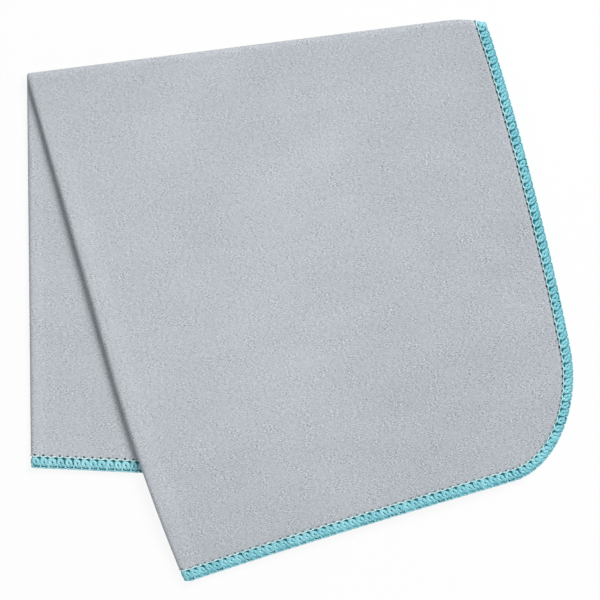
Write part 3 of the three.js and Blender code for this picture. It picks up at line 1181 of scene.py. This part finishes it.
class CLOTH_OT_stage(bpy.types.Operator):
    """Makes the floor, the soft light and the camera"""
    bl_idname = "cloth.stage"
    bl_label = "Stage"

    def execute(self, context):
        settings = context.scene.cloth_stage
        make_floor(settings)
        make_sky(settings)
        make_lamp("key_lamp", KEY_PLACE, KEY_SIZE, settings.key)
        make_lamp("fill_lamp", FILL_PLACE, FILL_SIZE, settings.fill)
        make_camera()
        context.scene.view_settings.view_transform = "Standard"
        return {"FINISHED"}


def make_floor(settings):
    bpy.ops.object.select_all(action="DESELECT")
    bpy.ops.mesh.primitive_plane_add(size=FLOOR_SIZE, location=(0, 0, 0))
    floor = bpy.context.object
    floor.name = "floor"
    material, finish = new_material("pale_floor")
    cast = finish.node("ShaderNodeBsdfDiffuse", {}, {"Color": opaque(settings.floor)})
    glow = finish.node("ShaderNodeEmission", {}, {"Color": (1, 1, 1, 1), "Strength": 1.0})
    mixed = finish.node("ShaderNodeMixShader", {}, {
        0: finish.seen() * FLOOR_GLOW, 1: cast, 2: glow})
    finish.surface(mixed)
    floor.data.materials.append(material)


def make_sky(settings):
    world = bpy.data.worlds.new("studio")
    bpy.context.scene.world = world
    world.use_nodes = True
    finish = Finish(world.node_tree)
    light = finish.node("ShaderNodeBackground", {}, {
        "Color": (1, 1, 1, 1), "Strength": settings.sky})
    white = finish.node("ShaderNodeBackground", {}, {"Color": (1, 1, 1, 1), "Strength": 1.0})
    mixed = finish.node("ShaderNodeMixShader", {}, {
        0: finish.seen(), 1: light, 2: white})
    finish.surface(mixed, "ShaderNodeOutputWorld")


def make_lamp(name, place, size, power):
    """A soft round lamp that faces the middle of the cloth."""
    lamp = bpy.data.lights.new(name, "AREA")
    lamp.shape = "DISK"
    lamp.size = size
    lamp.energy = power
    thing = add_object(name, lamp)
    thing.location = place
    thing.rotation_euler = (-thing.location).to_track_quat("-Z", "Y").to_euler()


def make_camera():
    camera = bpy.data.cameras.new("camera")
    camera.lens = LENS
    camera.sensor_width = SENSOR
    camera.clip_end = CAMERA_REACH
    thing = add_object("camera", camera)
    distance = VIEW_WIDTH * LENS / SENSOR
    thing.location = Vector(CAMERA_CENTRE) + Vector((0, 0, distance))
    thing.rotation_euler = (0, 0, CAMERA_TURN)
    bpy.context.scene.camera = thing


class CLOTH_PT_panel(bpy.types.Panel):
    """Lists the cloth's sizes, colours and pieces"""
    bl_idname = "CLOTH_PT_panel"
    bl_label = "Folded cloth"
    bl_space_type = "VIEW_3D"
    bl_region_type = "UI"
    bl_category = "Cloth"

    def draw(self, context):
        layout = self.layout
        for group in (context.scene.cloth_sizes, context.scene.cloth_colours,
                      context.scene.cloth_stage):
            box = layout.box()
            for name in group.__annotations__:
                box.prop(group, name)
        for operator in OPERATORS:
            layout.operator(operator.bl_idname)


OPERATORS = (
    CLOTH_OT_upper_looper, CLOTH_OT_lower_looper, CLOTH_OT_needle_thread,
    CLOTH_OT_sheets, CLOTH_OT_stage)
CLASSES = (ClothColours, ClothSizes, StageSettings) + OPERATORS + (CLOTH_PT_panel,)


def register():
    for kind in CLASSES:
        bpy.utils.register_class(kind)
    bpy.types.Scene.cloth_colours = bpy.props.PointerProperty(type=ClothColours)
    bpy.types.Scene.cloth_sizes = bpy.props.PointerProperty(type=ClothSizes)
    bpy.types.Scene.cloth_stage = bpy.props.PointerProperty(type=StageSettings)


def unregister():
    del bpy.types.Scene.cloth_stage
    del bpy.types.Scene.cloth_sizes
    del bpy.types.Scene.cloth_colours
    for kind in reversed(CLASSES):
        bpy.utils.unregister_class(kind)


def main():
    register()
    bpy.ops.cloth.upper_looper()
    bpy.ops.cloth.lower_looper()
    bpy.ops.cloth.needle_thread()
    bpy.ops.cloth.sheets()
    bpy.ops.cloth.stage()


if __name__ == "__main__":
    main()
